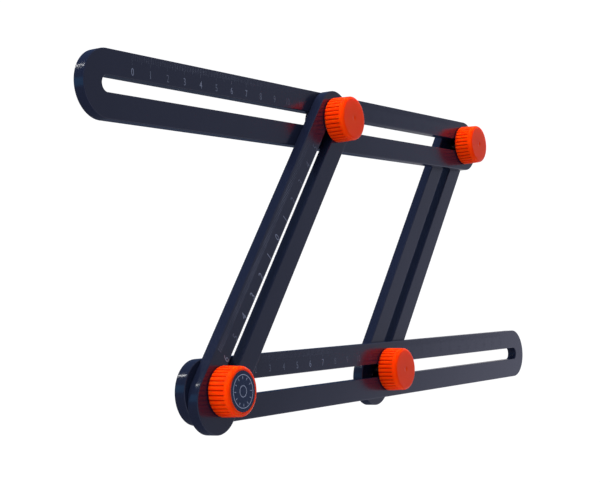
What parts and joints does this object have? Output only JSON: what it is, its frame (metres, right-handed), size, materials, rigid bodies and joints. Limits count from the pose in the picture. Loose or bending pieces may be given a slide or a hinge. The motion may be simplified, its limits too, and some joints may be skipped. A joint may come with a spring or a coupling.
{
  "type": "angle copier",
  "caption": "Parallelogram angle copying tool: slotted round-ended rules with printed scales, clamped where they cross by bolts and ribbed hand knobs.",
  "frame": {"origin": "under the middle of the tool's outline, on the plane that the two lowest bolt heads rest on", "axes": "+X along the top and bottom rules to the right, +Y from the bottom rule to the top rule, +Z out of the front, where the knobs are"},
  "size_m": [0.3534, 0.1396, 0.0262],
  "materials": {
    "rule": "dark anodised, semi-gloss",
    "knob": "satin gloss",
    "steel": "zinc plated",
    "insert": "turned",
    "cap": "printed, glossy"
  },
  "bodies": {
    "bottom_rule": {"bottom_rule": "rule"},
    "lower_left_bolt": {"lower_left_bolt": "steel"},
    "lower_left_washer": {"lower_left_washer": "steel"},
    "left_rule": {"left_rule": "rule"},
    "upper_left_bolt": {"upper_left_bolt": "steel", "upper_left_washer": "steel"},
    "top_rule": {"top_rule": "rule"},
    "lower_right_washer": {"lower_right_washer": "steel"},
    "lower_right_bolt": {"lower_right_bolt": "steel"},
    "right_rule": {"right_rule": "rule", "upper_right_bolt": "steel", "upper_right_washer": "steel"},
    "lower_left_knob": {"lower_left_knob": "knob", "lower_left_insert": "insert", "lower_left_cap": "cap"},
    "upper_left_knob": {"upper_left_knob": "knob", "upper_left_insert": "insert"},
    "upper_right_knob": {"upper_right_knob": "knob", "upper_right_insert": "insert"},
    "lower_right_knob": {"lower_right_knob": "knob", "lower_right_insert": "insert"}
  },
  "joints": [
    {"name": "bottom_slot_slide", "type": "slide", "parent": "bottom_rule", "child": "lower_left_bolt", "axis": [1, 0, 0], "range_m": [-0.0005, 0.03]},
    {"name": "frame_fold", "type": "hinge", "parent": "lower_left_bolt", "child": "lower_left_washer", "pos_m": [-0.1115, -0.0537, 0.007], "axis": [0, 0, 1], "range_deg": [-20.8, 79.2]},
    {"name": "side_slot_slide", "type": "slide", "parent": "lower_left_washer", "child": "left_rule", "axis": [0.632, 0.7749, 0], "range_m": [-0.06, 0.003]},
    {"name": "upper_left_turn", "type": "hinge", "parent": "left_rule", "child": "upper_left_bolt", "pos_m": [-0.0213, 0.05688, 0.007], "axis": [0, 0, 1], "range_deg": [-79.2, 20.8]},
    {"name": "top_slot_slide", "type": "slide", "parent": "upper_left_bolt", "child": "top_rule", "axis": [1, 0, 0], "range_m": [-0.0007, 0.11]},
    {"name": "right_clamp_slide", "type": "slide", "parent": "bottom_rule", "child": "lower_right_washer", "axis": [1, 0, 0], "range_m": [-0.057, 0.001]},
    {"name": "lower_right_turn", "type": "hinge", "parent": "lower_right_washer", "child": "lower_right_bolt", "pos_m": [0.0231, -0.0537, 0.0022], "axis": [0, 0, 1], "range_deg": [-20.8, 79.2]},
    {"name": "right_slot_slide", "type": "slide", "parent": "lower_right_bolt", "child": "right_rule", "axis": [0.632, 0.7749, 0], "range_m": [-0.06, 0.003]},
    {"name": "lower_left_knob_turn", "type": "hinge", "parent": "lower_left_bolt", "child": "lower_left_knob", "pos_m": [-0.1115, -0.0537, 0.0166], "axis": [0, 0, 1], "range_deg": [0, 720]},
    {"name": "upper_left_knob_turn", "type": "hinge", "parent": "upper_left_bolt", "child": "upper_left_knob", "pos_m": [-0.0213, 0.05688, 0.0166], "axis": [0, 0, 1], "range_deg": [0, 720]},
    {"name": "upper_right_knob_turn", "type": "hinge", "parent": "right_rule", "child": "upper_right_knob", "pos_m": [0.1133, 0.05688, 0.0118], "axis": [0, 0, 1], "range_deg": [0, 720]},
    {"name": "lower_right_knob_turn", "type": "hinge", "parent": "lower_right_bolt", "child": "lower_right_knob", "pos_m": [0.0231, -0.0537, 0.0118], "axis": [0, 0, 1], "range_deg": [0, 720]}
  ],
  "couplings": [
    {"joint": "upper_left_turn", "follows": "frame_fold", "ratio": -1},
    {"joint": "lower_right_turn", "follows": "frame_fold", "ratio": 1},
    {"joint": "right_slot_slide", "follows": "side_slot_slide", "ratio": 1}
  ]
}
